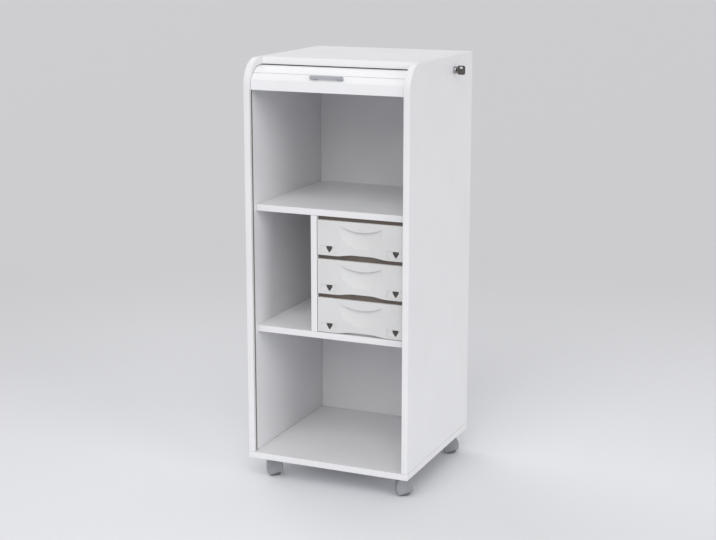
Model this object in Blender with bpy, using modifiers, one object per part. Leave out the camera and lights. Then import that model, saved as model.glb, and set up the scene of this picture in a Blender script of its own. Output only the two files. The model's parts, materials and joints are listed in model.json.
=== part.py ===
# Mobile roller-shutter filing cabinet with a drawer insert.
# Metres, +Z up, front towards -Y. The origin is on the floor, under the middle of the whole object.
# Most pieces are drawn in the carcass's own frame: x from its middle, y from its front, z from its underside.

import math

import bmesh
import bpy
from mathutils import Matrix, Vector

# Boards of the carcass
CARCASS_WIDTH = 0.480
CARCASS_DEPTH = 0.480
CARCASS_HEIGHT = 1.120
BOARD = 0.018
BACK_BOARD = 0.006
CORNER_RADIUS = 0.070
EDGE_ROUND = 0.0008
JOIN_GAP = 0.0003
LOWER_SHELF_TOP = 0.381
UPPER_SHELF_TOP = 0.7225
SHELF_SETBACK = 0.030
TOP_SETBACK = 0.074
TOP_NOSE_FLAT = 0.002

# Shutter track and its slatted curtain
TRACK_INSET = 0.0133
TRACK_RADIUS = 0.048
TRACK_DEPTH = 0.008
TRACK_CLEARANCE = 0.0004
CHANNEL_GAP = 0.004
SLOT_GAP = 0.0034
SLAT_PITCH = 0.018
SLAT_THICKNESS = 0.005
SLAT_CROWN = 0.0004
SLAT_NOTCH = 0.0009
SLAT_END_GAP = 0.0007
SPARE_SLATS = 2

# Leading end of the shutter
END_BAR_DROP = 0.083
END_BAR_HEIGHT = 0.029
END_BAR_THICKNESS = 0.011
END_BAR_SETBACK = 0.008
END_BAR_ROUND = 0.0015
END_BAR_LIP_DROP = 0.0019
SIDE_CLEARANCE = 0.001
PEG_LIFT = 0.006
PEG_ROOT = 0.006
HINGE_SETBACK = 0.0012
HANDLE_LIFT = 0.0065
HANDLE_LENGTH = 0.098
HANDLE_HEIGHT = 0.008
HANDLE_REACH = 0.011
HANDLE_BAR = 0.0035
HANDLE_LEG = 0.017
HANDLE_LEAN = 0.003

# Rails for hanging files
RAIL_SETBACK = 0.060
RAIL_SPAN = 0.330
RAIL_DROP = 0.066
RAIL_HEIGHT = 0.020
RAIL_LEG = 0.012
RAIL_STEEL = 0.0025

# Drawer insert
DRAWER_COUNT = 3
DRAWER_BAY = 0.2615
DRAWER_GAP = 0.011
DRAWER_FOOT_GAP = 0.0015
DRAWER_SIDE_GAP = 0.0015
DRAWER_DEPTH = 0.335
DRAWER_FRONT = 0.012
DRAWER_WALL = 0.0025
DRAWER_FLOOR_LIFT = 0.012
DRAWER_RIM_DROP = 0.016
FRONT_ROUND = 0.0015
WAVE_RISE = 0.0055
WAVE_HALF = 0.076
WAVE_FLANK = 0.052
LIP_DROP = 0.026
LIP_END_DROP = 0.011
SCOOP_HALF_WIDTH = 0.066
SCOOP_HEIGHT = 0.050
SCOOP_DEPTH = 0.008
SCOOP_BULGE = 0.020
RECESS_WIDTH = 0.045
RECESS_HEIGHT = 0.021
RECESS_DEPTH = 0.0018
RECESS_MARGIN = 0.010
RECESS_LIFT = 0.006
MARK_WIDTH = 0.0175
MARK_HEIGHT = 0.0190
MARK_DEPTH = 0.005
MARK_SHIFT = 0.0025
MARK_SINK = 0.0005
RUNNER_WALL = 0.002
RUNNER_REACH = 0.0085
RUNNER_PLAY = 0.0006
RUNNER_LENGTH = 0.300
HOUSING_WALL = 0.003
HOUSING_LIP_REACH = 0.004
HOUSING_LIP_LIFT = 0.008

# Cylinder lock and key
LOCK_SETBACK = 0.328
LOCK_DROP = 0.040
BARREL_RADIUS = 0.0085
COLLAR_RADIUS = 0.010
COLLAR_PROUD = 0.008
BARREL_INSIDE = 0.012
PLUG_RADIUS = 0.006
NUT_RADIUS = 0.0125
NUT_THICKNESS = 0.005
CAM_LENGTH = 0.016
CAM_WIDTH = 0.010
CAM_THICKNESS = 0.002
BLADE_WIDTH = 0.007
BLADE_THICKNESS = 0.0022
BLADE_DEPTH = 0.013
BOW_LENGTH = 0.022
BOW_HEIGHT = 0.025
BOW_THICKNESS = 0.003
BOW_STANDOFF = 0.002
BOW_ROUND = 0.005
BOW_HOLE_WIDTH = 0.009
BOW_HOLE_HEIGHT = 0.0055
BOW_HOLE_DROP = 0.006

# Castors
CASTOR_HEIGHT = 0.064
CASTOR_INSET_X = 0.042
CASTOR_INSET_Y = 0.054
CASTOR_TRAIL = 0.010
CASTOR_TURN = -58
WHEEL_RADIUS = 0.020
WHEEL_WIDTH = 0.0105
WHEEL_ROUND = 0.003
WHEEL_DISH = 0.0015
WEB_HALF = 0.0035
WHEEL_GAP = 0.0008
HOOD_GAP = 0.001
HOOD_WALL = 0.002
HOOD_CHEEK = 0.0015
HOOD_LIFT = 0.010
SKIRT_FRONT = 0.003
SKIRT_REAR = 0.015
HOOD_ROUND = 0.003
HOOD_WRAP = 55
AXLE_RADIUS = 0.003
STEM_RADIUS = 0.004
BOSS_RADIUS = 0.009
SOCKET_RADIUS = 0.017
SOCKET_PLATE = 0.003
SOCKET_BOSS = 0.005

# Places that follow from the sizes above
INNER_HALF = CARCASS_WIDTH / 2 - BOARD
CURTAIN_TOP = CARCASS_HEIGHT - BOARD - SLOT_GAP - SLAT_THICKNESS / 2
BEND_START = CURTAIN_TOP - TRACK_RADIUS
FRONT_RUN = BEND_START - BOARD
BEND_RUN = TRACK_RADIUS * math.pi / 2
TOP_RUN = CARCASS_DEPTH - 2 * (TRACK_INSET + TRACK_RADIUS)
TRACK_LENGTH = 2 * (FRONT_RUN + BEND_RUN) + TOP_RUN
SLAT_SAGITTA = TRACK_RADIUS - math.sqrt(TRACK_RADIUS ** 2 - (SLAT_PITCH / 2) ** 2)
TRACK_WIDTH = SLAT_THICKNESS + 2 * (SLAT_SAGITTA + TRACK_CLEARANCE)
INNER_BACK_REAR = CARCASS_DEPTH - TRACK_INSET - TRACK_WIDTH / 2 - CHANNEL_GAP
INNER_BACK_FRONT = INNER_BACK_REAR - BACK_BOARD
BAY_RIGHT = INNER_HALF
BAY_LEFT = BAY_RIGHT - DRAWER_BAY
BAY_MIDDLE = (BAY_LEFT + BAY_RIGHT) / 2
BAY_HEIGHT = UPPER_SHELF_TOP - BOARD - LOWER_SHELF_TOP
FRONT_WIDTH = DRAWER_BAY - 2 * DRAWER_SIDE_GAP
FRONT_HEIGHT = (BAY_HEIGHT - DRAWER_FOOT_GAP - DRAWER_COUNT * DRAWER_GAP) / DRAWER_COUNT
KEY_PROUD = COLLAR_PROUD + BOW_STANDOFF + BOW_LENGTH
AXLE_HEIGHT = WHEEL_RADIUS
HOOD_RADIUS = WHEEL_RADIUS + HOOD_GAP + HOOD_WALL
POCKET_WIDTH = WHEEL_WIDTH + 2 * WHEEL_GAP
HOOD_HALF = WEB_HALF + POCKET_WIDTH + HOOD_CHEEK
AXLE_REACH = WEB_HALF + WHEEL_GAP + WHEEL_WIDTH
SOCKET_FOOT = CASTOR_HEIGHT - JOIN_GAP - SOCKET_PLATE - SOCKET_BOSS
RUNNING_GAP = JOIN_GAP

LARGE_RADIUS = 0.010
SMALL_ARC_STEPS = 3
WAVE_STEPS = 8
LARGE_ARC_STEPS = 12
ROUND_STEPS = 20
SMOOTH_ANGLE = math.radians(35)
FLAT_ANGLE = math.radians(0.05)


# Scene, collections and placing

for old in list(bpy.data.objects):
    bpy.data.objects.remove(old, do_unlink=True)


def new_collection(name):
    collection = bpy.data.collections.new(name)
    bpy.context.scene.collection.children.link(collection)
    return collection


parts = new_collection("roller_shutter_cabinet")
cutters = new_collection("cutters")
cutters.hide_render = True


def empty(name, location, parent=None):
    holder = bpy.data.objects.new(name, None)
    holder.location = location
    holder.parent = parent
    parts.objects.link(holder)
    return holder


def linear(channel):
    return channel / 12.92 if channel <= 0.04045 else ((channel + 0.055) / 1.055) ** 2.4


def finish(name, colour, roughness, metallic=0.0):
    material = bpy.data.materials.new(name)
    material.use_nodes = True
    shader = material.node_tree.nodes["Principled BSDF"]
    red, green, blue = (linear(channel / 255) for channel in colour)
    shader.inputs["Base Color"].default_value = (red, green, blue, 1)
    shader.inputs["Roughness"].default_value = roughness
    shader.inputs["Metallic"].default_value = metallic
    return material


MELAMINE = finish("white_melamine", (236, 237, 240), 0.45)
BACK_WHITE = finish("white_fibreboard", (228, 229, 232), 0.55)
SLAT_WHITE = finish("white_slat_pvc", (240, 241, 243), 0.35)
DRAWER_WHITE = finish("off_white_polystyrene", (226, 224, 228), 0.40)
PLATE_BROWN = finish("brown_grey_polystyrene", (105, 94, 86), 0.50)
INSERT_DARK = finish("dark_insert_polystyrene", (56, 53, 52), 0.45)
RUNNER_GREY = finish("grey_runner_nylon", (150, 150, 152), 0.50)
ALUMINIUM = finish("satin_aluminium", (176, 178, 182), 0.35, 1.0)
RAIL_ZINC = finish("zinc_plated_steel", (160, 163, 168), 0.40, 1.0)
CHROME = finish("chromed_zinc", (200, 202, 205), 0.15, 1.0)
KEY_BLACK = finish("black_key_plastic", (52, 50, 48), 0.40)
CASTOR_GREY = finish("grey_castor_nylon", (150, 152, 157), 0.45)
TREAD_GREY = finish("dark_grey_tread", (88, 90, 94), 0.60)


def node(obj, material, parent, location=(0, 0, 0)):
    # The pieces that cut or join an object are drawn in its frame, so they move with it.
    obj.data.materials.clear()
    obj.data.materials.append(material)
    others = [modifier.object for modifier in obj.modifiers if modifier.type == "BOOLEAN"]
    for item in [obj] + others:
        item.parent = parent
        item.location = location
    return obj


# Shapes

def mesh_object(name, bm, collection=parts):
    mesh = bpy.data.meshes.new(name)
    bm.to_mesh(mesh)
    bm.free()
    obj = bpy.data.objects.new(name, mesh)
    collection.objects.link(obj)
    return obj


def box(name, low, high, collection=parts):
    low, high = Vector(low), Vector(high)
    bm = bmesh.new()
    bmesh.ops.create_cube(bm, size=1.0)
    bmesh.ops.scale(bm, vec=high - low, verts=bm.verts)
    bmesh.ops.translate(bm, vec=(low + high) / 2, verts=bm.verts)
    return mesh_object(name, bm, collection)


def rod(name, radius, start, end, steps=ROUND_STEPS, collection=parts):
    start, end = Vector(start), Vector(end)
    axis = end - start
    bm = bmesh.new()
    bmesh.ops.create_cone(
        bm, cap_ends=True, segments=steps, radius1=radius, radius2=radius, depth=axis.length
    )
    turn = Vector((0, 0, 1)).rotation_difference(axis).to_matrix().to_4x4()
    bm.transform(Matrix.Translation((start + end) / 2) @ turn)
    return mesh_object(name, bm, collection)


def arc(centre, radius, start, end, steps):
    points = []
    for step in range(steps + 1):
        angle = math.radians(start + (end - start) * step / steps)
        points.append((centre[0] + radius * math.cos(angle), centre[1] + radius * math.sin(angle)))
    return points


def rounded(corners):
    # An outline from (a, b, radius) corners, with an arc at each corner that has a radius.
    points = []
    for index, (a, b, radius) in enumerate(corners):
        here = Vector((a, b))
        if not radius:
            points.append((a, b))
            continue
        before = (Vector(corners[index - 1][:2]) - here).normalized()
        after = (Vector(corners[(index + 1) % len(corners)][:2]) - here).normalized()
        half = before.angle(after) / 2
        centre = here + (before + after).normalized() * (radius / math.sin(half))
        first = here + before * (radius / math.tan(half)) - centre
        last = here + after * (radius / math.tan(half)) - centre
        start = math.degrees(math.atan2(first.y, first.x))
        sweep = math.degrees(math.atan2(last.y, last.x)) - start
        sweep = (sweep + 180) % 360 - 180
        steps = LARGE_ARC_STEPS if radius > LARGE_RADIUS else SMALL_ARC_STEPS
        points += arc(centre, radius, start, start + sweep, steps)
    return points


def plane(across, up, origin):
    # The frame of a flat outline: its two drawing directions and the middle of its thickness.
    across, up = Vector(across), Vector(up)
    turn = Matrix((across, up, across.cross(up))).transposed().to_4x4()
    return Matrix.Translation(origin) @ turn


def side_plane(x):
    return plane((0, 1, 0), (0, 0, 1), (x, 0, 0))


def front_plane(y):
    return plane((1, 0, 0), (0, 0, 1), (0, y, 0))


def outline_solid(name, points, frame, thickness, collection=parts):
    curve = bpy.data.curves.new(name, "CURVE")
    curve.dimensions = "2D"
    curve.fill_mode = "BOTH"
    curve.extrude = thickness / 2
    spline = curve.splines.new("POLY")
    spline.points.add(len(points) - 1)
    for target, (a, b) in zip(spline.points, points):
        target.co = (a, b, 0, 1)
    spline.use_cyclic_u = True
    guide = bpy.data.objects.new(name, curve)
    collection.objects.link(guide)
    return as_mesh(guide, collection, frame)


def as_mesh(source, collection=parts, frame=Matrix.Identity(4)):
    # The source object with its modifiers made into a plain closed mesh.
    name = source.name
    graph = bpy.context.evaluated_depsgraph_get()
    graph.update()
    mesh = bpy.data.meshes.new_from_object(source.evaluated_get(graph))
    bpy.data.objects.remove(source, do_unlink=True)
    bm = bmesh.new()
    bm.from_mesh(mesh)
    bmesh.ops.remove_doubles(bm, verts=bm.verts, dist=0.00001)
    bmesh.ops.dissolve_limit(bm, angle_limit=FLAT_ANGLE, verts=bm.verts, edges=bm.edges)
    bmesh.ops.recalc_face_normals(bm, faces=bm.faces)
    bm.transform(frame)
    bpy.data.meshes.remove(mesh)
    return mesh_object(name, bm, collection)


def turned(name, profile, closed, frame, steps=ROUND_STEPS):
    # A profile of (radius, height) points turned about the frame's z axis.
    bm = bmesh.new()
    verts = [bm.verts.new((radius, 0, height)) for radius, height in profile]
    pairs = list(zip(verts, verts[1:]))
    if closed:
        pairs.append((verts[-1], verts[0]))
    for pair in pairs:
        bm.edges.new(pair)
    obj = mesh_object(name, bm)
    screw = obj.modifiers.new("turn", "SCREW")
    screw.steps = steps
    screw.render_steps = steps
    screw.use_merge_vertices = True
    screw.merge_threshold = 0.00001
    obj = as_mesh(obj, parts, frame)
    smooth(obj)
    return obj


def smooth(obj):
    obj.data.shade_smooth()
    obj.data.set_sharp_from_angle(angle=SMOOTH_ANGLE)


def ease(obj, width, segments=1):
    bevel = obj.modifiers.new("eased_edges", "BEVEL")
    bevel.width = width
    bevel.segments = segments
    bevel.limit_method = "ANGLE"
    bevel.angle_limit = math.radians(40)
    return obj


def boolean(obj, other, operation):
    modifier = obj.modifiers.new(other.name, "BOOLEAN")
    modifier.operation = operation
    modifier.solver = "EXACT"
    modifier.object = other
    other.hide_render = True
    other.display_type = "WIRE"


def cut(obj, cutter):
    boolean(obj, cutter, "DIFFERENCE")


def join(obj, piece):
    boolean(obj, piece, "UNION")


def copy_of(source, name):
    obj = bpy.data.objects.new(name, source.data)
    parts.objects.link(obj)
    return obj


# The shutter's path in the side panels, as (y, z) points and outward directions

def track(distance):
    if distance < FRONT_RUN:
        return Vector((TRACK_INSET, BOARD + distance)), Vector((-1, 0))
    distance -= FRONT_RUN
    rear = CARCASS_DEPTH - TRACK_INSET
    if distance < BEND_RUN:
        angle = distance / TRACK_RADIUS
        outward = Vector((-math.cos(angle), math.sin(angle)))
        return Vector((TRACK_INSET + TRACK_RADIUS, BEND_START)) + outward * TRACK_RADIUS, outward
    distance -= BEND_RUN
    if distance < TOP_RUN:
        return Vector((TRACK_INSET + TRACK_RADIUS + distance, CURTAIN_TOP)), Vector((0, 1))
    distance -= TOP_RUN
    if distance < BEND_RUN:
        angle = distance / TRACK_RADIUS
        outward = Vector((math.sin(angle), math.cos(angle)))
        return Vector((rear - TRACK_RADIUS, BEND_START)) + outward * TRACK_RADIUS, outward
    distance -= BEND_RUN
    return Vector((rear, BEND_START - distance)), Vector((1, 0))


def hinge_after(point, distance):
    # How far along the track the next hinge lies, one slat from the given point.
    low, high = distance, distance + 2 * SLAT_PITCH
    for _ in range(50):
        middle = (low + high) / 2
        if (track(middle)[0] - point).length < SLAT_PITCH:
            low = middle
        else:
            high = middle
    return low


END_BAR_BOTTOM = CARCASS_HEIGHT - END_BAR_DROP
END_BAR_TOP = END_BAR_BOTTOM + END_BAR_HEIGHT
HINGE = Vector((TRACK_INSET + HINGE_SETBACK, END_BAR_TOP))
FIRST_HINGE = hinge_after(HINGE, FRONT_RUN + END_BAR_TOP - BEND_START)
SLAT_ALONG = (track(FIRST_HINGE)[0] - HINGE).normalized()
SLAT_OUTWARD = Vector((-SLAT_ALONG.y, SLAT_ALONG.x))
CLOSED_TRAVEL = END_BAR_BOTTOM - BOARD - JOIN_GAP
CLOSED_LENGTH = FRONT_RUN - (END_BAR_TOP - CLOSED_TRAVEL + SLAT_PITCH - BOARD) + BEND_RUN
SLAT_COUNT = math.ceil(CLOSED_LENGTH / SLAT_PITCH) + SPARE_SLATS


def track_groove(name, x):
    stops = [-BOARD, FRONT_RUN]
    stops += [FRONT_RUN + BEND_RUN * step / LARGE_ARC_STEPS for step in range(1, LARGE_ARC_STEPS)]
    rear_bend = FRONT_RUN + BEND_RUN + TOP_RUN
    stops += [FRONT_RUN + BEND_RUN]
    stops += [rear_bend + BEND_RUN * step / LARGE_ARC_STEPS for step in range(LARGE_ARC_STEPS)]
    stops += [rear_bend + BEND_RUN, TRACK_LENGTH + BOARD]
    outer, inner = [], []
    for stop in stops:
        point, outward = track(stop)
        outer.append(tuple(point + outward * (TRACK_WIDTH / 2)))
        inner.append(tuple(point - outward * (TRACK_WIDTH / 2)))
    return outline_solid(name, outer + inner[::-1], side_plane(x), 2 * TRACK_DEPTH, cutters)


def curtain_outline():
    # Straight slats between hinge points on the track, crowned outside, with a notch at each hinge.
    distances = [FIRST_HINGE]
    while len(distances) <= SLAT_COUNT:
        distances.append(hinge_after(track(distances[-1])[0], distances[-1]))
    hinges = [track(distance)[0] for distance in distances]
    outside, inside = [], []
    for index, (first, last) in enumerate(zip(hinges, hinges[1:])):
        along = (last - first).normalized()
        outward = Vector((-along.y, along.x))
        start = first + along * SLAT_NOTCH
        end = last - along * SLAT_NOTCH
        for share in (0.0, 0.5, 1.0):
            lift = SLAT_THICKNESS / 2 + SLAT_CROWN * (1 - (2 * share - 1) ** 2)
            outside.append(tuple(start.lerp(end, share) + outward * lift))
        inside.append(tuple(start - outward * (SLAT_THICKNESS / 2)))
        inside.append(tuple(end - outward * (SLAT_THICKNESS / 2)))
        if index + 2 == len(hinges):
            break
        after = (hinges[index + 2] - last).normalized()
        mean = (outward + Vector((-after.y, after.x))).normalized()
        web = SLAT_THICKNESS / 2 - SLAT_NOTCH
        outside.append(tuple(last + mean * web))
        inside.append(tuple(last - mean * web))
    return outside + inside[::-1]


# Carcass

def board(name, low, high, parent, material=MELAMINE):
    return node(ease(box(name, low, high), EDGE_ROUND), material, parent)


def side_panel(name, side):
    low = BOARD + JOIN_GAP
    corners = [
        (0, low, 0),
        (CARCASS_DEPTH, low, 0),
        (CARCASS_DEPTH, CARCASS_HEIGHT, 0),
        (0, CARCASS_HEIGHT, CORNER_RADIUS),
    ]
    middle = side * (INNER_HALF + BOARD / 2)
    panel = ease(outline_solid(name, rounded(corners), side_plane(middle), BOARD), EDGE_ROUND)
    cut(panel, track_groove(name + "_groove", side * INNER_HALF))
    return panel


def carcass(root):
    half = CARCASS_WIDTH / 2
    inside = INNER_HALF - JOIN_GAP
    shelf_rear = INNER_BACK_FRONT - JOIN_GAP
    underside = CARCASS_HEIGHT - BOARD
    board("base_panel", (-half, 0, 0), (half, CARCASS_DEPTH, BOARD), root)
    node(side_panel("left_side_panel", -1), MELAMINE, root)
    right = side_panel("right_side_panel", 1)
    bore_ends = (lock_point(INNER_HALF - BOARD), lock_point(half + BOARD))
    cut(right, rod("lock_bore", BARREL_RADIUS + JOIN_GAP, *bore_ends, collection=cutters))
    node(right, MELAMINE, root)
    nose = [
        (TOP_SETBACK, underside, 0),
        (CARCASS_DEPTH, underside, 0),
        (CARCASS_DEPTH, CARCASS_HEIGHT, 0),
        (TOP_SETBACK, CARCASS_HEIGHT, BOARD - TOP_NOSE_FLAT),
    ]
    top = outline_solid("top_panel", rounded(nose), side_plane(0), 2 * inside)
    node(top, MELAMINE, root)
    for name, height in (("lower_shelf", LOWER_SHELF_TOP), ("upper_shelf", UPPER_SHELF_TOP)):
        board(name, (-inside, SHELF_SETBACK, height - BOARD), (inside, shelf_rear, height), root)
    low = LOWER_SHELF_TOP + JOIN_GAP
    high = UPPER_SHELF_TOP - BOARD - JOIN_GAP
    board("divider_panel", (BAY_LEFT - BOARD, SHELF_SETBACK, low), (BAY_LEFT, shelf_rear, high), root)
    low = BOARD + JOIN_GAP
    back = node(
        box("inner_back_panel", (-inside, INNER_BACK_FRONT, low), (inside, INNER_BACK_REAR, BEND_START)),
        BACK_WHITE, root,
    )
    ease(back, EDGE_ROUND)
    rear = CARCASS_DEPTH - BACK_BOARD
    back = node(
        box("outer_back_panel", (-inside, rear, low), (inside, CARCASS_DEPTH, underside - JOIN_GAP)),
        BACK_WHITE, root,
    )
    ease(back, EDGE_ROUND)


def hanging_rail(name, front, direction, root):
    # An angle rail: an upright strip with a foot that points into the cabinet.
    top = CARCASS_HEIGHT - RAIL_DROP
    bottom = top - RAIL_HEIGHT
    corners = [
        (front, bottom, 0),
        (front + direction * RAIL_LEG, bottom, 0),
        (front + direction * RAIL_LEG, bottom + RAIL_STEEL, 0),
        (front + direction * RAIL_STEEL, bottom + RAIL_STEEL, 0),
        (front + direction * RAIL_STEEL, top, 0),
        (front, top, 0),
    ]
    rail = outline_solid(name, rounded(corners), side_plane(0), 2 * (INNER_HALF - JOIN_GAP))
    node(rail, RAIL_ZINC, root)


# Shutter

def curtain(root):
    width = 2 * (INNER_HALF + TRACK_DEPTH - SLAT_END_GAP)
    node(outline_solid("shutter_curtain", curtain_outline(), side_plane(0), width), SLAT_WHITE, root)


def end_bar(shutter):
    front = END_BAR_SETBACK
    rear = front + END_BAR_THICKNESS
    seat = SLAT_THICKNESS / 2 + RUNNING_GAP
    lip = math.degrees(math.asin(END_BAR_LIP_DROP / seat))
    outline = rounded([
        (front, END_BAR_TOP, END_BAR_ROUND),
        (front, END_BAR_BOTTOM, END_BAR_ROUND),
        (rear, END_BAR_BOTTOM, END_BAR_ROUND),
        (rear, END_BAR_TOP - END_BAR_LIP_DROP, 0),
        (HINGE.x, END_BAR_TOP, 0),
    ])
    outline = outline[:-1] + arc(HINGE, seat, -lip, -180, SMALL_ARC_STEPS * 3)
    half = INNER_HALF - SIDE_CLEARANCE
    bar = outline_solid("shutter_end_bar", outline, side_plane(0), 2 * half)
    reach = INNER_HALF + TRACK_DEPTH - SLAT_END_GAP
    height = END_BAR_BOTTOM + PEG_LIFT
    for side, label in ((-1, "left"), (1, "right")):
        root = (side * (half - PEG_ROOT), TRACK_INSET, height)
        tip = (side * reach, TRACK_INSET, height)
        radius = TRACK_WIDTH / 2 - TRACK_CLEARANCE
        join(bar, rod(f"{label}_guide_peg", radius, root, tip, collection=cutters))
    node(bar, SLAT_WHITE, shutter)


def slat_point(along, outward):
    return tuple(SLAT_ALONG * along + SLAT_OUTWARD * outward)


def handle_slat(hinge):
    half = SLAT_THICKNESS / 2
    end = SLAT_PITCH - SLAT_NOTCH
    tilt = math.degrees(math.atan2(SLAT_OUTWARD.y, SLAT_OUTWARD.x))
    outline = arc((0, 0), half, tilt, tilt + 180, SMALL_ARC_STEPS * 3)
    outline += [slat_point(end - SLAT_NOTCH, -half), slat_point(end, SLAT_NOTCH - half)]
    outline += [slat_point(end, half - SLAT_NOTCH), slat_point(end - SLAT_NOTCH, half)]
    width = 2 * (INNER_HALF - SIDE_CLEARANCE)
    node(outline_solid("handle_slat", outline, side_plane(0), width), SLAT_WHITE, hinge)


def bow_handle(hinge):
    half = HANDLE_LENGTH / 2
    foot = half - HANDLE_LEAN
    shoulder = half - HANDLE_LEG
    under = HANDLE_REACH - HANDLE_BAR
    corners = [
        (-foot, JOIN_GAP, 0),
        (-foot + HANDLE_LEG, JOIN_GAP, 0),
        (-shoulder, under, HANDLE_BAR),
        (shoulder, under, HANDLE_BAR),
        (foot - HANDLE_LEG, JOIN_GAP, 0),
        (foot, JOIN_GAP, 0),
        (half, HANDLE_REACH, HANDLE_BAR / 2),
        (-half, HANDLE_REACH, HANDLE_BAR / 2),
    ]
    seat = SLAT_ALONG * HANDLE_LIFT + SLAT_OUTWARD * (SLAT_THICKNESS / 2)
    frame = plane((1, 0, 0), (0, *SLAT_OUTWARD), (0, *seat))
    handle = outline_solid("shutter_handle", rounded(corners), frame, HANDLE_HEIGHT)
    node(ease(handle, EDGE_ROUND), ALUMINIUM, hinge)


# Drawer insert

def drawer_front_outline():
    half = FRONT_WIDTH / 2
    flank = []
    for step in range(WAVE_STEPS + 1):
        share = step / WAVE_STEPS
        flank.append((WAVE_HALF - WAVE_FLANK * share, WAVE_RISE * (1 - math.cos(math.pi * share)) / 2))
    wave = [(-x, rise) for x, rise in flank] + flank[::-1]
    return [(-half, 0)] + wave + [(half, 0), (half, FRONT_HEIGHT), (-half, FRONT_HEIGHT)]


def scoop_cutter():
    # A flattened ball sunk into the front, with a large cylinder that keeps the smiling lip above it.
    share = math.sqrt(1 - (1 - SCOOP_DEPTH / SCOOP_BULGE) ** 2)
    bm = bmesh.new()
    bmesh.ops.create_uvsphere(bm, u_segments=32, v_segments=16, radius=1.0)
    size = (SCOOP_HALF_WIDTH / share, SCOOP_BULGE, SCOOP_HEIGHT / share)
    bmesh.ops.scale(bm, vec=size, verts=bm.verts)
    middle = (0, SCOOP_DEPTH - SCOOP_BULGE, FRONT_HEIGHT - LIP_DROP)
    bmesh.ops.translate(bm, vec=middle, verts=bm.verts)
    ball = mesh_object("finger_scoop", bm, cutters)
    sag = LIP_DROP - LIP_END_DROP
    lip_radius = (SCOOP_HALF_WIDTH ** 2 + sag ** 2) / (2 * sag)
    lip_centre = FRONT_HEIGHT - LIP_DROP + lip_radius
    start = (0, -2 * SCOOP_BULGE, lip_centre)
    end = (0, 2 * SCOOP_BULGE, lip_centre)
    cut(ball, rod("scoop_lip", lip_radius, start, end, 6 * ROUND_STEPS, cutters))
    return ball


def label_recesses(drawer):
    # In each lower corner a shallow label recess, and in it a pocket with rounded sides that ends in a point.
    for label, middle in recess_middles().items():
        low = (middle - RECESS_WIDTH / 2, -RECESS_DEPTH, RECESS_LIFT)
        high = (middle + RECESS_WIDTH / 2, RECESS_DEPTH, RECESS_LIFT + RECESS_HEIGHT)
        cut(drawer, box(f"{label}_label_recess", low, high, cutters))
        outline = mark_outline(middle + MARK_SHIFT, 0)
        pocket = outline_solid(f"{label}_label_pocket", outline, front_plane(0), 2 * MARK_DEPTH, cutters)
        cut(drawer, pocket)


def recess_middles():
    middle = FRONT_WIDTH / 2 - RECESS_MARGIN - RECESS_WIDTH / 2
    return {"left": -middle, "right": middle}


def mark_outline(middle, gap):
    # The pocket's outline, or with a gap the outline of the dark insert that sits in it.
    bottom = RECESS_LIFT + (RECESS_HEIGHT - MARK_HEIGHT) / 2
    top = bottom + MARK_HEIGHT - gap
    shoulder = bottom + MARK_HEIGHT * 0.7 + gap / 2
    half = MARK_WIDTH / 2 - gap
    return rounded([
        (middle, bottom + 2 * gap, half / 5),
        (middle + half, shoulder, half / 5),
        (middle + half, top, half / 10),
        (middle - half, top, half / 10),
        (middle - half, shoulder, half / 5),
    ])


def insert_shape(name):
    front = RECESS_DEPTH + MARK_SINK
    rear = MARK_DEPTH - JOIN_GAP
    outline = mark_outline(0, JOIN_GAP)
    return outline_solid(name, outline, front_plane((front + rear) / 2), rear - front)


def housing_shelf(name, low, high, level, material, root):
    # A thin shelf of the insert's housing between the bay's walls, with a lip that closes the gap behind the fronts.
    front = SHELF_SETBACK + DRAWER_FRONT + JOIN_GAP
    rear = SHELF_SETBACK + DRAWER_DEPTH
    outline = [
        (front, low),
        (front + HOUSING_WALL, low),
        (front + HOUSING_WALL, level),
        (rear, level),
        (rear, level + HOUSING_WALL),
        (front + HOUSING_WALL, level + HOUSING_WALL),
        (front + HOUSING_WALL, high),
        (front, high),
    ]
    width = DRAWER_BAY - 2 * JOIN_GAP
    node(outline_solid(name, outline, side_plane(BAY_MIDDLE), width), material, root)


def drawer_shape():
    front = outline_solid(
        "drawer_upper", drawer_front_outline(), front_plane(DRAWER_FRONT / 2), DRAWER_FRONT
    )
    ease(front, FRONT_ROUND, 2)
    tray_half = FRONT_WIDTH / 2 + DRAWER_SIDE_GAP - JOIN_GAP - RUNNER_REACH - DRAWER_SIDE_GAP
    rim = FRONT_HEIGHT - DRAWER_RIM_DROP
    low = (-tray_half, DRAWER_FRONT / 2, DRAWER_FLOOR_LIFT)
    join(front, box("tray", low, (tray_half, DRAWER_DEPTH, rim), cutters))
    flange_half = FRONT_WIDTH / 2 + DRAWER_SIDE_GAP - JOIN_GAP - RUNNER_WALL - RUNNER_PLAY
    low = (-flange_half, DRAWER_FRONT / 2, rim - DRAWER_WALL)
    join(front, box("rim_flanges", low, (flange_half, DRAWER_DEPTH, rim - DRAWER_WALL / 10), cutters))
    wall = DRAWER_WALL
    low = (wall - tray_half, DRAWER_FRONT, DRAWER_FLOOR_LIFT + wall)
    cut(front, box("tray_inside", low, (tray_half - wall, DRAWER_DEPTH - wall, rim + wall), cutters))
    cut(front, scoop_cutter())
    label_recesses(front)
    return as_mesh(front)


def housing(root):
    for index, label in ((1, "lower"), (2, "middle")):
        base = drawer_base(index)
        low = base - DRAWER_GAP - HOUSING_LIP_REACH
        level = base - (DRAWER_GAP + HOUSING_WALL) / 2
        housing_shelf(f"housing_{label}_shelf", low, base + HOUSING_LIP_LIFT, level, PLATE_BROWN, root)
    top = UPPER_SHELF_TOP - BOARD - JOIN_GAP
    low = top - DRAWER_GAP - HOUSING_LIP_REACH
    housing_shelf("housing_top", low, top, top - HOUSING_WALL, PLATE_BROWN, root)
    floor = LOWER_SHELF_TOP + JOIN_GAP
    high = drawer_base(0) + HOUSING_LIP_LIFT
    housing_shelf("housing_floor", floor, high, floor, DRAWER_WHITE, root)


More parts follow.
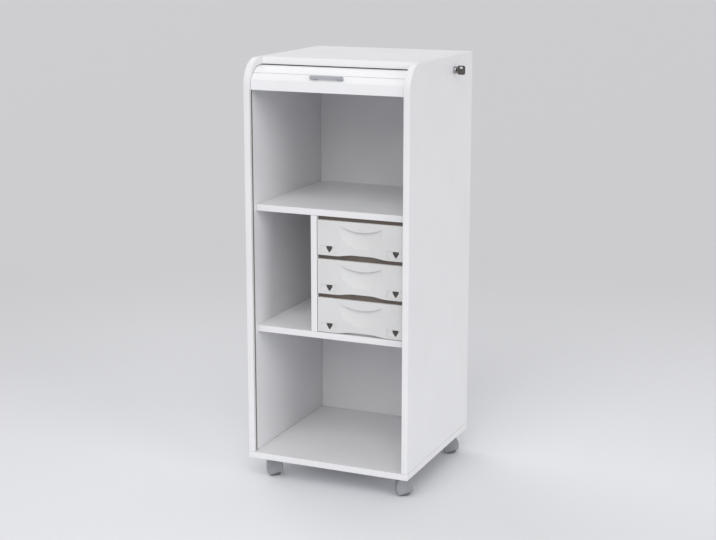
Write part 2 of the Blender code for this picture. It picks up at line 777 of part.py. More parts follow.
def drawer_base(index):
    return LOWER_SHELF_TOP + DRAWER_FOOT_GAP + index * (FRONT_HEIGHT + DRAWER_GAP)


def runner(name, side, index, root):
    # A channel on the bay's wall that the drawer's flange slides in.
    wall = BAY_MIDDLE + side * (DRAWER_BAY / 2 - JOIN_GAP)
    flange_top = drawer_base(index) + FRONT_HEIGHT - DRAWER_RIM_DROP
    bottom = flange_top - DRAWER_WALL - JOIN_GAP - RUNNER_WALL
    top = flange_top + RUNNER_PLAY + RUNNER_WALL
    lip = wall - side * RUNNER_REACH
    back = wall - side * RUNNER_WALL
    corners = [
        (wall, bottom, 0),
        (lip, bottom, 0),
        (lip, bottom + RUNNER_WALL, 0),
        (back, bottom + RUNNER_WALL, 0),
        (back, top - RUNNER_WALL, 0),
        (lip, top - RUNNER_WALL, 0),
        (lip, top, 0),
        (wall, top, 0),
    ]
    middle = SHELF_SETBACK + DRAWER_FRONT + DRAWER_SIDE_GAP + RUNNER_LENGTH / 2
    node(outline_solid(name, rounded(corners), front_plane(middle), RUNNER_LENGTH), RUNNER_GREY, root)


def drawers(root):
    first = drawer_shape()
    mark = insert_shape("drawer_upper_left_insert")
    for index, label in enumerate(("lower", "middle", "upper")):
        name = "drawer_" + label
        base = drawer_base(index)
        drawer = first if first.name == name else copy_of(first, name)
        node(drawer, DRAWER_WHITE, root, (BAY_MIDDLE, SHELF_SETBACK, base))
        for hand, middle in recess_middles().items():
            own = f"{name}_{hand}_insert"
            insert = mark if mark.name == own else copy_of(mark, own)
            node(insert, INSERT_DARK, root, (BAY_MIDDLE + middle + MARK_SHIFT, SHELF_SETBACK, base))
        runner(f"{label}_left_runner", -1, index, root)
        runner(f"{label}_right_runner", 1, index, root)
    housing(root)


# Lock

def lock_point(x):
    return (x, LOCK_SETBACK, CARCASS_HEIGHT - LOCK_DROP)


def lock(root):
    outer = CARCASS_WIDTH / 2
    face = outer + COLLAR_PROUD
    tail = INNER_HALF - BARREL_INSIDE
    turn = plane((0, 1, 0), (0, 0, 1), lock_point(0))
    chamfer = COLLAR_RADIUS / 10
    bore = PLUG_RADIUS + RUNNING_GAP
    profile = [
        (bore, face),
        (COLLAR_RADIUS - chamfer, face),
        (COLLAR_RADIUS, face - chamfer),
        (COLLAR_RADIUS, outer + JOIN_GAP),
        (BARREL_RADIUS, outer + JOIN_GAP),
        (BARREL_RADIUS, tail),
        (bore, tail),
    ]
    node(turned("lock_barrel", profile, True, turn), CHROME, root)
    nut_outer = lock_point(INNER_HALF - JOIN_GAP)
    nut_inner = lock_point(INNER_HALF - JOIN_GAP - NUT_THICKNESS)
    nut = rod("lock_nut", NUT_RADIUS, nut_inner, nut_outer, 6)
    hole_start = lock_point(INNER_HALF - 2 * NUT_THICKNESS)
    cut(nut, rod("nut_hole", BARREL_RADIUS + JOIN_GAP, hole_start, lock_point(outer), collection=cutters))
    node(nut, CHROME, root)
    axis = empty("lock_axis", lock_point(0), root)
    plug = rod("lock_plug", PLUG_RADIUS, (tail, 0, 0), (face, 0, 0))
    gap = JOIN_GAP
    slot_low = (face - BLADE_DEPTH - gap, -BLADE_THICKNESS / 2 - gap, -BLADE_WIDTH / 2 - gap)
    slot_high = (face + gap, BLADE_THICKNESS / 2 + gap, BLADE_WIDTH / 2 + gap)
    cut(plug, box("key_slot", slot_low, slot_high, cutters))
    smooth(plug)
    node(plug, CHROME, axis)
    cam_end = CAM_LENGTH - CAM_WIDTH / 2
    cam = arc((0, -cam_end), CAM_WIDTH / 2, 180, 360, 2 * SMALL_ARC_STEPS)
    cam += arc((0, 0), CAM_WIDTH / 2, 0, 180, 2 * SMALL_ARC_STEPS)
    cam_x = tail - gap - CAM_THICKNESS / 2
    node(outline_solid("lock_cam", cam, side_plane(cam_x), CAM_THICKNESS), RAIL_ZINC, axis)
    key(axis, face)


def key(axis, face):
    start = face + BOW_STANDOFF
    half = BLADE_WIDTH / 2
    corners = [
        (face - BLADE_DEPTH, -half, half / 2),
        (start, -half, 0),
        (start, -BOW_HEIGHT / 2, BOW_ROUND),
        (start + BOW_LENGTH, -BOW_HEIGHT / 2, BOW_ROUND),
        (start + BOW_LENGTH, BOW_HEIGHT / 2, BOW_ROUND),
        (start, BOW_HEIGHT / 2, BOW_ROUND),
        (start, half, 0),
        (face - BLADE_DEPTH, half, half / 2),
    ]
    blank = outline_solid("key", rounded(corners), front_plane(0), BOW_THICKNESS)
    for side, label in ((-1, "front"), (1, "rear")):
        inner = side * BLADE_THICKNESS / 2
        outer = side * BOW_THICKNESS
        low = (face - 2 * BLADE_DEPTH, min(inner, outer), -BLADE_WIDTH)
        high = (start, max(inner, outer), BLADE_WIDTH)
        cut(blank, box(f"{label}_blade_relief", low, high, cutters))
    middle = start + BOW_LENGTH / 2
    top = (BOW_HEIGHT + BOW_HOLE_HEIGHT) / 2 - BOW_HOLE_DROP
    hole = rounded([
        (middle - BOW_HOLE_WIDTH / 2, top - BOW_HOLE_HEIGHT, BOW_HOLE_HEIGHT / 2.2),
        (middle + BOW_HOLE_WIDTH / 2, top - BOW_HOLE_HEIGHT, BOW_HOLE_HEIGHT / 2.2),
        (middle + BOW_HOLE_WIDTH / 2, top, BOW_HOLE_HEIGHT / 2.2),
        (middle - BOW_HOLE_WIDTH / 2, top, BOW_HOLE_HEIGHT / 2.2),
    ])
    cut(blank, outline_solid("key_ring_hole", hole, front_plane(0), 2 * BOW_THICKNESS, cutters))
    node(blank, KEY_BLACK, axis)


# Castors, drawn from the swivel axis at the floor

def skirt(y):
    # The height of the hood's slanted lower edge.
    share = (y - CASTOR_TRAIL + HOOD_RADIUS) / (2 * HOOD_RADIUS)
    return SKIRT_FRONT + (SKIRT_REAR - SKIRT_FRONT) * share


def hood_outline(radius, drop):
    # A tall arch whose front wraps round the wheel.
    rear = CASTOR_TRAIL + radius
    points = arc((CASTOR_TRAIL, AXLE_HEIGHT + HOOD_LIFT), radius, 0, 180, LARGE_ARC_STEPS)
    points += arc((CASTOR_TRAIL, AXLE_HEIGHT), radius, 180, 180 + HOOD_WRAP, LARGE_ARC_STEPS // 2)
    return points + [(rear, skirt(rear) - drop)]


def castor_hood(name):
    # The rounded block is drawn longer than the hood and trimmed at the slanted skirt; its cheeks hide the wheels.
    block = hood_outline(HOOD_RADIUS, 3 * HOOD_ROUND)
    hood = outline_solid(name, block, side_plane(0), 2 * HOOD_HALF)
    ease(hood, HOOD_ROUND, 2)
    reach = CASTOR_TRAIL + 2 * HOOD_RADIUS
    wedge = [(-reach, skirt(-reach)), (-reach, -reach), (reach, -reach), (reach, skirt(reach))]
    cut(hood, outline_solid("skirt_trim", wedge, side_plane(0), 4 * HOOD_HALF, cutters))
    boss_top = SOCKET_FOOT - RUNNING_GAP
    join(hood, rod("hood_boss", BOSS_RADIUS, (0, 0, AXLE_HEIGHT), (0, 0, boss_top), collection=cutters))
    join(
        hood,
        rod("hood_stem", STEM_RADIUS, (0, 0, AXLE_HEIGHT), (0, 0, CASTOR_HEIGHT - 2 * JOIN_GAP), 16, cutters),
    )
    pocket = hood_outline(HOOD_RADIUS - HOOD_WALL, HOOD_RADIUS)
    for side, label in ((-1, "left"), (1, "right")):
        frame = side_plane(side * (WEB_HALF + POCKET_WIDTH / 2))
        cut(hood, outline_solid(f"{label}_wheel_pocket", pocket, frame, POCKET_WIDTH, cutters))
    ends = [(side * AXLE_REACH, CASTOR_TRAIL, AXLE_HEIGHT) for side in (-1, 1)]
    cut(hood, rod("axle_bore", AXLE_RADIUS + JOIN_GAP, ends[0], ends[1], 16, cutters))
    hood = as_mesh(hood)
    smooth(hood)
    return hood


def wheel_shape(name):
    # Turned about X; the wheel's middle is at its origin and its dished face looks along +X.
    half = WHEEL_WIDTH / 2
    bore = AXLE_RADIUS + RUNNING_GAP
    dish_outer = WHEEL_RADIUS - 2 * WHEEL_ROUND
    dish_inner = 2 * AXLE_RADIUS
    profile = [(bore, half), (dish_inner, half), (dish_inner + WHEEL_DISH, half - WHEEL_DISH)]
    profile += [(dish_outer - WHEEL_DISH, half - WHEEL_DISH), (dish_outer, half)]
    profile += arc((WHEEL_RADIUS - WHEEL_ROUND, half - WHEEL_ROUND), WHEEL_ROUND, 90, 0, 2)
    profile += arc((WHEEL_RADIUS - WHEEL_ROUND, WHEEL_ROUND - half), WHEEL_ROUND, 0, -90, 2)
    profile += [(bore, -half)]
    return turned(name, profile, True, plane((0, 1, 0), (0, 0, 1), (0, 0, 0)))


def socket_shape(name):
    top = CASTOR_HEIGHT - JOIN_GAP
    bore = STEM_RADIUS + RUNNING_GAP
    profile = [
        (bore, top),
        (SOCKET_RADIUS, top),
        (SOCKET_RADIUS, top - SOCKET_PLATE),
        (BOSS_RADIUS, top - SOCKET_PLATE),
        (BOSS_RADIUS, SOCKET_FOOT),
        (bore, SOCKET_FOOT),
    ]
    return turned(name, profile, True, Matrix.Identity(4))


def castors(root):
    shapes = {}

    def piece(kind, name, make):
        if kind not in shapes:
            shapes[kind] = make(name)
            return shapes[kind]
        return copy_of(shapes[kind], name)

    across = CARCASS_WIDTH / 2 - CASTOR_INSET_X
    rear = CARCASS_DEPTH - CASTOR_INSET_Y
    corners = {
        "front_left": (-across, CASTOR_INSET_Y),
        "front_right": (across, CASTOR_INSET_Y),
        "rear_left": (-across, rear),
        "rear_right": (across, rear),
    }
    for label, (x, y) in corners.items():
        swivel = empty(f"{label}_swivel", (x, y, -CASTOR_HEIGHT), root)
        swivel.rotation_euler = (0, 0, math.radians(CASTOR_TURN))
        node(piece("socket", f"{label}_castor_socket", socket_shape), CASTOR_GREY, swivel)
        node(piece("hood", f"{label}_castor_hood", castor_hood), CASTOR_GREY, swivel)
        axle = empty(f"{label}_axle_centre", (0, CASTOR_TRAIL, AXLE_HEIGHT), swivel)
        ends = ((-AXLE_REACH, 0, 0), (AXLE_REACH, 0, 0))
        spindle = piece("axle", f"{label}_axle", lambda name: rod(name, AXLE_RADIUS, *ends, 16))
        node(spindle, RAIL_ZINC, axle)
        offset = WEB_HALF + WHEEL_GAP + WHEEL_WIDTH / 2
        for side, hand in ((-1, "left"), (1, "right")):
            wheel = piece("wheel", f"{label}_{hand}_wheel", wheel_shape)
            node(wheel, TREAD_GREY, axle, (side * offset, 0, 0))
            if side < 0:
                wheel.rotation_euler = (0, 0, math.pi)


def main():
    root = empty("carcass", (-KEY_PROUD / 2, -CARCASS_DEPTH / 2, CASTOR_HEIGHT))
    carcass(root)
    hanging_rail("front_hanging_rail", RAIL_SETBACK, 1, root)
    hanging_rail("rear_hanging_rail", RAIL_SETBACK + RAIL_SPAN, -1, root)
    curtain(root)
    shutter = empty("shutter", (0, 0, 0), root)
    end_bar(shutter)
    hinge = empty("handle_slat_hinge", (0, *HINGE), shutter)
    handle_slat(hinge)
    bow_handle(hinge)
    drawers(root)
    lock(root)
    castors(root)
    bpy.context.view_layer.update()
    lean = math.degrees(math.atan2(SLAT_ALONG.x, SLAT_ALONG.y))
    upright = -math.degrees(math.asin(HINGE_SETBACK / SLAT_PITCH))
    print(f"slats {SLAT_COUNT}, shutter travel {CLOSED_TRAVEL:.4f} m, handle slat turns {lean - upright:.2f} degrees")
    print(f"hinge {HINGE.x - CARCASS_DEPTH / 2:.5f} {HINGE.y + CASTOR_HEIGHT:.5f}")


main()
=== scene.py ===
import json
import math

import bmesh
import bpy
from mathutils import Matrix, Vector

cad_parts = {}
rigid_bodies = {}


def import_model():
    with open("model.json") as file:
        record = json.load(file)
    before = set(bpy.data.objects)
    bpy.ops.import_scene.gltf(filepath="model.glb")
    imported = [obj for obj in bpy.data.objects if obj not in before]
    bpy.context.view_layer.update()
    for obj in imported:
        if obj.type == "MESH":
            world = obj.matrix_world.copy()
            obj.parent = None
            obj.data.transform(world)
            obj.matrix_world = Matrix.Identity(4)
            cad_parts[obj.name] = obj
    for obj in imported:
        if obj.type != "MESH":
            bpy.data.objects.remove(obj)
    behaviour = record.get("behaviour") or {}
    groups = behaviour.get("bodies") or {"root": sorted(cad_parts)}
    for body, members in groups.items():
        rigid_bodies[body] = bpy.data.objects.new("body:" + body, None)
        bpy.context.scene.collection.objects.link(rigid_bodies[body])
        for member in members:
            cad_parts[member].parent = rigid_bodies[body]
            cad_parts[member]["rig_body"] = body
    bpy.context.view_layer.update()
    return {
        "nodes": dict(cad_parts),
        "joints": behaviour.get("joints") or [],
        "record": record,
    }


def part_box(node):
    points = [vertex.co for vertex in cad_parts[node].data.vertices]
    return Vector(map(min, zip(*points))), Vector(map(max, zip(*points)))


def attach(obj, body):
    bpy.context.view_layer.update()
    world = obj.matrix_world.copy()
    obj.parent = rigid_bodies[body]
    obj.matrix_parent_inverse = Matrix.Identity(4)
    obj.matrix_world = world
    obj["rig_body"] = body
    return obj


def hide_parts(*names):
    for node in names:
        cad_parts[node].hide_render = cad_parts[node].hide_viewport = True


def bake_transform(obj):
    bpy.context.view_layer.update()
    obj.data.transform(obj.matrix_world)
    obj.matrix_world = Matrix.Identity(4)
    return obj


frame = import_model()
nodes = frame["nodes"]
slotOf = {entry["node"]: entry["material_slot"] for entry in frame["record"]["subparts"]}
scene = bpy.context.scene
print("frame loaded:", len(nodes), "pieces")


# Colours and nodes

def linear(hexColour):
    # an sRGB hex colour as linear light with full alpha
    channels = [int(hexColour[i:i + 2], 16) / 255 for i in (1, 3, 5)]
    return [c / 12.92 if c <= 0.04045 else ((c + 0.055) / 1.055) ** 2.4 for c in channels] + [1.0]


def addNode(tree, kind, inputs, **settings):
    # an input is a plain value, or a socket to link from
    made = tree.nodes.new(kind)
    for name, value in settings.items():
        setattr(made, name, value)
    for name, value in inputs.items():
        if isinstance(value, bpy.types.NodeSocket):
            tree.links.new(value, made.inputs[name])
        else:
            made.inputs[name].default_value = value
    return made


def perMetre(millimetres):
    # texture scale for features about this many millimetres wide
    return 1000.0 / millimetres


# most of a noise lies in this span, which is stretched over the whole range of a colour or a gloss
noiseLook = {"low": 0.3, "high": 0.7, "grainDetail": 3.0, "driftDetail": 2.0}


def makeFinish(name, look):
    # a fine grain in the bump and gloss, and a slow drift in the colour
    material = bpy.data.materials.new(name)
    material.use_nodes = True
    tree = material.node_tree
    shader = tree.nodes["Principled BSDF"]
    place = addNode(tree, "ShaderNodeTexCoord", {}).outputs["Object"]
    stretched = addNode(tree, "ShaderNodeMapping", {"Vector": place, "Scale": look["stretch"]})
    grain = addNode(
        tree, "ShaderNodeTexNoise",
        {
            "Vector": stretched.outputs["Vector"], "Scale": perMetre(look["grainMm"]),
            "Detail": noiseLook["grainDetail"],
        },
    )
    drift = addNode(
        tree, "ShaderNodeTexNoise",
        {"Vector": place, "Scale": perMetre(look["driftMm"]), "Detail": noiseLook["driftDetail"]},
    )
    colour = addNode(tree, "ShaderNodeValToRGB", {"Fac": drift.outputs["Fac"]})
    stops = ((noiseLook["low"], look["dark"]), (noiseLook["high"], look["light"]))
    for stop, (position, shade) in zip(colour.color_ramp.elements, stops):
        stop.position = position
        stop.color = linear(shade)
    spread = look["roughnessSpread"]
    gloss = addNode(
        tree, "ShaderNodeMapRange",
        {
            "Value": grain.outputs["Fac"], "From Min": noiseLook["low"], "From Max": noiseLook["high"],
            "To Min": look["roughness"] - spread, "To Max": look["roughness"] + spread,
        },
    )
    bump = addNode(
        tree, "ShaderNodeBump",
        {"Height": grain.outputs["Fac"], "Strength": look["bump"], "Distance": look["bumpMm"] / 1000},
    )
    tree.links.new(colour.outputs["Color"], shader.inputs["Base Color"])
    tree.links.new(gloss.outputs["Result"], shader.inputs["Roughness"])
    tree.links.new(bump.outputs["Normal"], shader.inputs["Normal"])
    shader.inputs["Metallic"].default_value = look["metallic"]
    if not look["metallic"]:
        shader.inputs["IOR"].default_value = look["ior"]
    return material


finishLooks = {
    # melamine paper pressed on chipboard: a pearl grain that breaks up the sheen,
    # drawn coarser than real to show
    "white_melamine": {
        "dark": "#DFDFE1", "light": "#E2E2E4", "metallic": 0.0, "ior": 1.50,
        "roughness": 0.42, "roughnessSpread": 0.06, "bump": 0.12, "bumpMm": 0.15,
        "grainMm": 1.6, "driftMm": 140.0, "stretch": (1, 1, 1),
    },
    # lacquered fibreboard: flatter and duller than the boards
    "white_fibreboard": {
        "dark": "#D9D9DB", "light": "#DFDFE1", "metallic": 0.0, "ior": 1.50,
        "roughness": 0.55, "roughnessSpread": 0.05, "bump": 0.10, "bumpMm": 0.15,
        "grainMm": 2.2, "driftMm": 180.0, "stretch": (1, 1, 1),
    },
    # extruded rigid PVC: fine drawn lines run across the cabinet with the extrusion
    "white_slat_pvc": {
        "dark": "#E6E6E8", "light": "#E9E9EB", "metallic": 0.0, "ior": 1.53,
        "roughness": 0.40, "roughnessSpread": 0.05, "bump": 0.08, "bumpMm": 0.08,
        "grainMm": 1.2, "driftMm": 120.0, "stretch": (0.03, 1, 1),
    },
    # injection-moulded polystyrene: a fine spark-eroded grain, slightly warm white
    "off_white_polystyrene": {
        "dark": "#CFCFCF", "light": "#D5D5D5", "metallic": 0.0, "ior": 1.59,
        "roughness": 0.40, "roughnessSpread": 0.06, "bump": 0.10, "bumpMm": 0.12,
        "grainMm": 1.4, "driftMm": 90.0, "stretch": (1, 1, 1),
    },
    # moulded polystyrene of the insert's housing, seen edge on between the drawers: its dark brown-grey is
    # painted shade for the deep gaps there
    "brown_grey_polystyrene": {
        "dark": "#635850", "light": "#6F635B", "metallic": 0.0, "ior": 1.59,
        "roughness": 0.50, "roughnessSpread": 0.06, "bump": 0.10, "bumpMm": 0.12,
        "grainMm": 1.4, "driftMm": 60.0, "stretch": (1, 1, 1),
    },
    # dark moulded polystyrene inserts in the label recesses
    "dark_insert_polystyrene": {
        "dark": "#343130", "light": "#3C3938", "metallic": 0.0, "ior": 1.59,
        "roughness": 0.45, "roughnessSpread": 0.08, "bump": 0.12, "bumpMm": 0.08,
        "grainMm": 0.9, "driftMm": 8.0, "stretch": (1, 1, 1),
    },
    # moulded nylon runners: grey and waxy
    "grey_runner_nylon": {
        "dark": "#8F8F91", "light": "#9A9A9C", "metallic": 0.0, "ior": 1.53,
        "roughness": 0.48, "roughnessSpread": 0.06, "bump": 0.10, "bumpMm": 0.10,
        "grainMm": 1.2, "driftMm": 60.0, "stretch": (1, 1, 1),
    },
    # satin anodised aluminium: drawn lines along the bar soften the reflection
    "satin_aluminium": {
        "dark": "#B4B6BA", "light": "#C2C4C8", "metallic": 1.0,
        "roughness": 0.36, "roughnessSpread": 0.08, "bump": 0.12, "bumpMm": 0.05,
        "grainMm": 0.8, "driftMm": 40.0, "stretch": (0.04, 1, 1),
    },
    # bright zinc plating: a cool metal with a cloudy spangle
    "zinc_plated_steel": {
        "dark": "#9BA0A6", "light": "#B4B8BD", "metallic": 1.0,
        "roughness": 0.38, "roughnessSpread": 0.10, "bump": 0.06, "bumpMm": 0.05,
        "grainMm": 2.5, "driftMm": 12.0, "stretch": (1, 1, 1),
    },
    # polished chrome plate over zinc casting
    "chromed_zinc": {
        "dark": "#9EA0A4", "light": "#ACAEB1", "metallic": 1.0,
        "roughness": 0.14, "roughnessSpread": 0.04, "bump": 0.03, "bumpMm": 0.03,
        "grainMm": 1.0, "driftMm": 8.0, "stretch": (1, 1, 1),
    },
    # black moulded ABS over the key's head
    "black_key_plastic": {
        "dark": "#403D3A", "light": "#4C4946", "metallic": 0.0, "ior": 1.54,
        "roughness": 0.42, "roughnessSpread": 0.08, "bump": 0.15, "bumpMm": 0.08,
        "grainMm": 0.8, "driftMm": 10.0, "stretch": (1, 1, 1),
    },
    # light grey moulded nylon castor housings
    "grey_castor_nylon": {
        "dark": "#898B90", "light": "#95979C", "metallic": 0.0, "ior": 1.53,
        "roughness": 0.42, "roughnessSpread": 0.07, "bump": 0.12, "bumpMm": 0.10,
        "grainMm": 1.2, "driftMm": 30.0, "stretch": (1, 1, 1),
    },
    # nylon wheels with a softer dark tread, dulled where they roll
    "dark_grey_tread": {
        "dark": "#5A5C60", "light": "#686A6E", "metallic": 0.0, "ior": 1.53,
        "roughness": 0.56, "roughnessSpread": 0.08, "bump": 0.20, "bumpMm": 0.12,
        "grainMm": 1.5, "driftMm": 16.0, "stretch": (1, 1, 1),
    },
}
finishes = {name: makeFinish(name, look) for name, look in finishLooks.items()}

# the shutter's grooves are milled through the white facing, and their walls show the board's grey core, set
# dark enough to be painted shade in the groove as well; the depths, in metres from the board's inner face,
# pick those walls
grooveLook = {"coreAndPaintedShade": "#98958F", "shallowest": 0.0015, "deepest": 0.0145}


def addSecondColour(material, attribute, hexColour):
    # faces where the attribute is 1 take this colour
    tree = material.node_tree
    shader = tree.nodes["Principled BSDF"]
    mainColour = shader.inputs["Base Color"].links[0].from_socket
    marked = addNode(tree, "ShaderNodeAttribute", {}, attribute_name=attribute)
    both = addNode(
        tree, "ShaderNodeMix",
        {0: marked.outputs["Fac"], 6: mainColour, 7: linear(hexColour)},  # factor and the two colours
        data_type="RGBA",
    )
    tree.links.new(both.outputs[2], shader.inputs["Base Color"])  # the mixed colour


# the groove walls take the core's grey, which is partly painted shade
addSecondColour(finishes["white_melamine"], "milled_core_and_painted_shade", grooveLook["coreAndPaintedShade"])
print("finishes made:", len(finishes))


# Dressed copies of the CAD pieces, with merged facets and edges shaded smooth below a sharp angle

dressing = {"mergeDistance": 1e-6, "flatAngle": 0.1, "sharpAngle": 50.0}


def smoothNormals(piece):
    weigh = piece.modifiers.new("even_normals", "WEIGHTED_NORMAL")
    weigh.mode = "FACE_AREA"
    weigh.keep_sharp = True


def markEdges(work, sharpAngle):
    for face in work.faces:
        face.smooth = True
    for edge in work.edges:
        edge.smooth = edge.calc_face_angle(math.pi) < math.radians(sharpAngle)


def addPiece(name, work, slot):
    mesh = bpy.data.meshes.new(name)
    work.to_mesh(mesh)
    work.free()
    mesh.materials.append(finishes[slot])
    piece = bpy.data.objects.new(name, mesh)
    scene.collection.objects.link(piece)
    return piece


def markFaces(work, attribute, chosen):
    layer = work.faces.layers.float.new(attribute)
    for face in work.faces:
        face[layer] = float(chosen(face))


def dress(nodeName):
    source = nodes[nodeName]
    loose = source.data.copy()  # loose triangles, merged below
    if "custom_normal" in loose.attributes:
        loose.attributes.remove(loose.attributes["custom_normal"])
    work = bmesh.new()
    work.from_mesh(loose)
    bpy.data.meshes.remove(loose)
    bmesh.ops.remove_doubles(work, verts=work.verts, dist=dressing["mergeDistance"])
    bmesh.ops.dissolve_limit(
        work, angle_limit=math.radians(dressing["flatAngle"]), verts=work.verts, edges=work.edges
    )
    markEdges(work, dressing["sharpAngle"])
    if nodeName.endswith("_side_panel"):
        inner = min(abs(vert.co.x) for vert in work.verts)
        low, high = inner + grooveLook["shallowest"], inner + grooveLook["deepest"]
        # marks the groove walls for the core grey and its painted shade
        markFaces(work, "milled_core_and_painted_shade", lambda face: low < max(abs(vert.co.x) for vert in face.verts) < high)
    piece = addPiece(nodeName + "_finish", work, slotOf[nodeName])
    smoothNormals(piece)
    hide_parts(nodeName)
    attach(piece, source["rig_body"])


for nodeName in sorted(nodes):
    dress(nodeName)
print("pieces dressed")


# Shutter slats packed at rest into the stack inside the end bar, and two slats that stay in the bend

# lengths in metres; the stack is the short space inside the end bar that holds the slats at rest,
# and the thin values are for the two slats that stay in the bend
slats = {
    "pitch": 0.018, "thickness": 0.005, "crown": 0.0004, "notch": 0.0009, "seam": 0.0001,
    "trackInset": 0.0133, "trackRadius": 0.048, "hingeSetback": 0.0012,
    "stackHeight": 0.022, "stackInset": 0.003,
    "thinShare": 0.7, "thinNotch": 0.0002, "webReach": 0.0006,
    "sharpAngle": 25.0, "halvings": 48,
}
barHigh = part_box("shutter_end_bar")[1]
curtainLow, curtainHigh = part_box("shutter_curtain")
shutterTravel = -next(j for j in frame["joints"] if j["name"] == "shutter_slide")["range_m"][0]
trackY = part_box("left_side_panel")[0].y + slats["trackInset"]
bendStart = curtainHigh.z - slats["thickness"] / 2 - slats["crown"] - slats["trackRadius"]


def slatOutline(height, thickness, notch):
    # (y, z) points of one slat from its hinge line upwards, crowned on the outside
    half = thickness / 2
    web = half - notch
    low, high = slats["seam"], height - slats["seam"]
    points = [(web, low), (half, notch), (half, height - notch), (web, high), (-web, high)]
    for share in (1.0, 0.5, 0.0):  # top, middle and bottom of the crowned face
        lift = slats["crown"] * (1 - (2 * share - 1) ** 2)
        points.append((-half - lift, notch + share * (height - 2 * notch)))
    points.append((-web, low))
    return points


def slatBody(height, thickness, notch):
    # the outline as one face, pulled out along X between the grooves
    work = bmesh.new()
    corners = [work.verts.new((curtainLow.x, y, z)) for y, z in slatOutline(height, thickness, notch)]
    work.faces.new(corners)
    pulled = bmesh.ops.extrude_face_region(work, geom=work.faces[:])
    moved = [item for item in pulled["geom"] if isinstance(item, bmesh.types.BMVert)]
    bmesh.ops.translate(work, vec=(curtainHigh.x - curtainLow.x, 0, 0), verts=moved)
    bmesh.ops.recalc_face_normals(work, faces=work.faces)
    return work


def restHeight(closedHeight, top):
    # where a point lies in the short stack: the height from which the eased travel of the shutter brings it
    # to its closed height
    low, high = 0.0, 1.0
    for _ in range(slats["halvings"]):
        share = (low + high) / 2
        eased = share * share * (3 - 2 * share)  # the travel is eased to start and end softly
        reached = top - share * slats["stackHeight"] - shutterTravel * eased
        if reached > closedHeight:
            low = share
        else:
            high = share
    return top - low * slats["stackHeight"]


def frontSlats():
    stackTop = barHigh.z - slats["stackInset"]
    bottom = barHigh.z - shutterTravel + slats["pitch"]
    count = round((bendStart - bottom) / slats["pitch"])
    height = (bendStart - bottom) / count
    work = slatBody(height, slats["thickness"], slats["notch"])
    bmesh.ops.spin(
        work, geom=work.verts[:] + work.edges[:] + work.faces[:], cent=(0, 0, 0), axis=(1, 0, 0),
        dvec=(0, 0, height), angle=0.0, steps=count - 1, use_duplicate=True,
    )
    bmesh.ops.translate(work, vec=(0, trackY, bottom), verts=work.verts)
    markEdges(work, slats["sharpAngle"])
    for vert in work.verts:
        vert.co.z = restHeight(vert.co.z, stackTop)
    piece = addPiece("shutter_front_slats", work, "white_slat_pvc")
    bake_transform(piece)
    return count


def bendSlat(name, low, high):
    # a slat that stays in the bend, hidden in what stands there while the shutter is up;
    # its web closes the joint
    along = (high - low).normalized()
    length = (high - low).length + slats["webReach"]
    work = slatBody(length, slats["thickness"] * slats["thinShare"], slats["thinNotch"])
    turn = Matrix.Rotation(math.atan2(-along.y, along.z), 4, "X")
    bmesh.ops.transform(work, matrix=Matrix.Translation((0, low.y, low.z)) @ turn, verts=work.verts)
    markEdges(work, slats["sharpAngle"])
    piece = addPiece(name, work, "white_slat_pvc")
    smoothNormals(piece)
    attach(piece, "carcass")


def nextHinge(point):
    # the place on the track's bend that is one slat away from the given hinge
    centre = Vector((0, trackY + slats["trackRadius"], bendStart))
    low, high = math.asin((point.z - bendStart) / slats["trackRadius"]), math.pi / 2
    for _ in range(slats["halvings"]):
        angle = (low + high) / 2
        found = centre + Vector((0, -math.cos(angle), math.sin(angle))) * slats["trackRadius"]
        if (found - point).length < slats["pitch"]:
            low = angle
        else:
            high = angle
    return found


slatCount = frontSlats()
hingePoint = Vector((0, trackY + slats["hingeSetback"], barHigh.z))
bendSlat("shutter_lower_bend_slat", Vector((0, trackY, bendStart)), hingePoint)
bendSlat("shutter_upper_bend_slat", hingePoint, nextHinge(hingePoint))
print("shutter slats made:", slatCount)


# Floor, light and camera

# the paper is painted palest round the centre, a painted pool of light, and greyer from the far radius on,
# painted falloff of the light; in metres
floorLook = {
    "size": 160.0, "segments": 8, "paintedPoolNear": "#E4E5E9", "far": "#C6C6C9",
    "centre": (0.6, -1.4, 0.0), "paintedPoolRadius": 0.4, "farRadius": 4.6,
    "grainMm": 900.0, "grainDetail": 1.0, "grainShare": 0.4, "roughness": 0.9, "specular": 0.1,
}


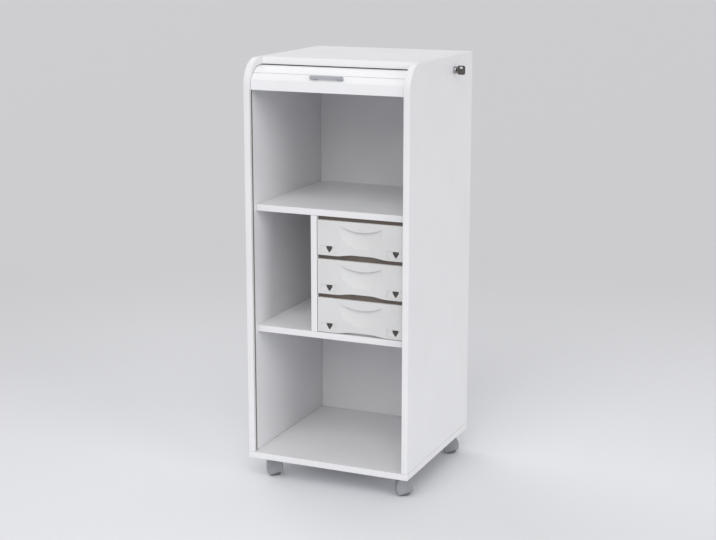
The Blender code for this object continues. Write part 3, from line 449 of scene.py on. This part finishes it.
def studioFloor():
    work = bmesh.new()
    bmesh.ops.create_grid(
        work, x_segments=floorLook["segments"], y_segments=floorLook["segments"], size=floorLook["size"] / 2
    )
    mesh = bpy.data.meshes.new("studio_floor")
    work.to_mesh(mesh)
    work.free()
    floor = bpy.data.objects.new("studio_floor", mesh)
    scene.collection.objects.link(floor)
    material = bpy.data.materials.new("paper_backdrop_painted_light")
    material.use_nodes = True
    tree = material.node_tree
    shader = tree.nodes["Principled BSDF"]
    place = addNode(tree, "ShaderNodeTexCoord", {}).outputs["Object"]
    cloud = addNode(
        tree, "ShaderNodeTexNoise",
        {
            "Vector": place, "Scale": perMetre(floorLook["grainMm"]),
            "Detail": floorLook["grainDetail"],
        },
    )
    offset = addNode(
        tree, "ShaderNodeVectorMath", {0: place, 1: floorLook["centre"]}, operation="DISTANCE"
    )
    uneven = addNode(
        tree, "ShaderNodeMath",
        {0: cloud.outputs["Fac"], 1: floorLook["grainShare"], 2: offset.outputs["Value"]},
        operation="MULTIPLY_ADD",
    )
    share = addNode(
        tree, "ShaderNodeMapRange",
        {
            "Value": uneven.outputs[0],
            "From Min": floorLook["paintedPoolRadius"], "From Max": floorLook["farRadius"],
        },
        interpolation_type="SMOOTHSTEP",
    )
    # painted light: a pool of light round the centre that fades into painted falloff
    colour = addNode(tree, "ShaderNodeValToRGB", {"Fac": share.outputs["Result"]})
    colour.color_ramp.elements[0].color = linear(floorLook["paintedPoolNear"])
    colour.color_ramp.elements[1].color = linear(floorLook["far"])
    tree.links.new(colour.outputs["Color"], shader.inputs["Base Color"])
    shader.inputs["Roughness"].default_value = floorLook["roughness"]
    shader.inputs["Specular IOR Level"].default_value = floorLook["specular"]
    mesh.materials.append(material)


# the light falls on surfaces; the shown colour is what the camera and reflections see
worldLook = {"light": "#FFFFFF", "strength": 0.59, "shown": "#CDCDD0", "shownStrength": 1.0}


def studioWorld():
    world = bpy.data.worlds.new("studio")
    world.use_nodes = True
    scene.world = world
    tree = world.node_tree
    tree.nodes.clear()
    rays = addNode(tree, "ShaderNodeLightPath", {})
    lit = addNode(
        tree, "ShaderNodeBackground",
        {"Color": linear(worldLook["light"]), "Strength": worldLook["strength"]},
    )
    shown = addNode(
        tree, "ShaderNodeBackground",
        {"Color": linear(worldLook["shown"]), "Strength": worldLook["shownStrength"]},
    )
    seen = rays.outputs["Is Camera Ray"]
    for ray in ("Is Glossy Ray", "Is Transmission Ray"):
        either = addNode(tree, "ShaderNodeMath", {0: seen, 1: rays.outputs[ray]}, operation="MAXIMUM")
        seen = either.outputs[0]
    choice = addNode(
        tree, "ShaderNodeMixShader",
        {0: seen, 1: lit.outputs["Background"], 2: shown.outputs["Background"]},
    )
    addNode(tree, "ShaderNodeOutputWorld", {"Surface": choice.outputs["Shader"]})


# far, wide lamps light the floor evenly; spreads in degrees, strengths in watts per square metre
lampLooks = {
    "front_light": {"place": (0.6, -3.0, 2.6), "spread": 50.0, "strength": 1.38},
    "side_light": {"place": (3.8, -1.2, 0.9), "spread": 30.0, "strength": 0.78},
    "back_light": {"place": (-2.9, 1.7, 2.0), "spread": 50.0, "strength": 0.82},
}


def studioLamps():
    for name, look in lampLooks.items():
        lamp = bpy.data.lights.new(name, "SUN")
        lamp.angle = math.radians(look["spread"])
        lamp.energy = look["strength"]
        holder = bpy.data.objects.new(name, lamp)
        holder.location = look["place"]
        holder.rotation_euler = Vector(look["place"]).to_track_quat("Z", "Y").to_euler()
        scene.collection.objects.link(holder)


# angles in degrees, the pitch below level; the focal length is in pixels of the photo's width
cameraLook = {
    "place": (1.632, -3.820, 1.536), "yaw": 23.45, "pitch": 12.43,
    "focalPx": 1507.0, "imageWidthPx": 716, "sensorMm": 36.0, "shiftY": -0.02,
}


def photoCamera():
    data = bpy.data.cameras.new("photo_camera")
    data.sensor_width = cameraLook["sensorMm"]
    data.lens = cameraLook["focalPx"] * data.sensor_width / cameraLook["imageWidthPx"]
    data.shift_y = cameraLook["shiftY"]
    camera = bpy.data.objects.new("photo_camera", data)
    camera.location = cameraLook["place"]
    camera.rotation_euler = (math.radians(90 - cameraLook["pitch"]), 0, math.radians(cameraLook["yaw"]))
    scene.collection.objects.link(camera)
    scene.camera = camera


studioFloor()
studioWorld()
studioLamps()
photoCamera()
scene.view_settings.view_transform = "Standard"
print("floor, light and camera set")
